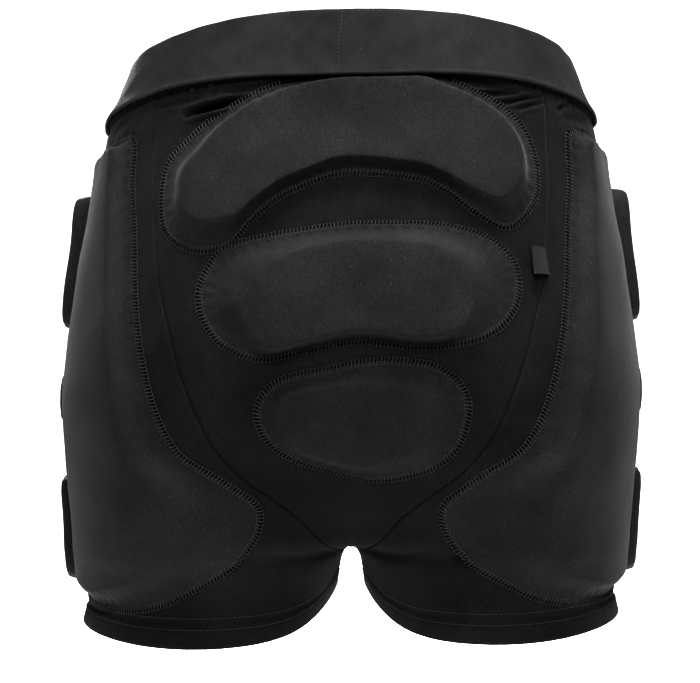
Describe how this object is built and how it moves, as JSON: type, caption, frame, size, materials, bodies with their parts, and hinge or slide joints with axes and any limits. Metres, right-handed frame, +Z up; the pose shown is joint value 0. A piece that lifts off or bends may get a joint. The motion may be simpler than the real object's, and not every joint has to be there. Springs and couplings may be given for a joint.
{
  "type": "padded protective shorts",
  "caption": "Close-fitting sports shorts with a wide elastic waistband and sewn foam pads over the lower back, seat, tailbone, hips and outer thighs.",
  "frame": {"origin": "middle of the waist, halfway up the waistband at the sides", "axes": "+Z up the body, +Y towards the wearer's front, +X towards the wearer's right"},
  "size_m": [0.4018, 0.2525, 0.404],
  "materials": {
    "cloth": "matte black knitted stretch cloth",
    "pad_cloth": "matte black knitted cloth over foam",
    "elastic": "black woven elastic with fine upright ribs",
    "ribbon": "black woven ribbon"
  },
  "bodies": {
    "root": {"waistband": "elastic", "seat_panel": "cloth", "front_panel": "cloth", "leg_panel_right": "cloth", "leg_panel_left": "cloth", "lumbar_pad": "pad_cloth", "seat_pad": "pad_cloth", "tailbone_pad": "pad_cloth", "hem_right": "cloth", "hip_pad_right": "pad_cloth", "side_pad_upper_right": "pad_cloth", "side_pad_middle_right": "pad_cloth", "side_pad_lower_right": "pad_cloth", "hem_left": "cloth", "hip_pad_left": "pad_cloth", "side_pad_upper_left": "pad_cloth", "side_pad_middle_left": "pad_cloth", "side_pad_lower_left": "pad_cloth", "label_tag": "ribbon"}
  },
  "joints": []
}
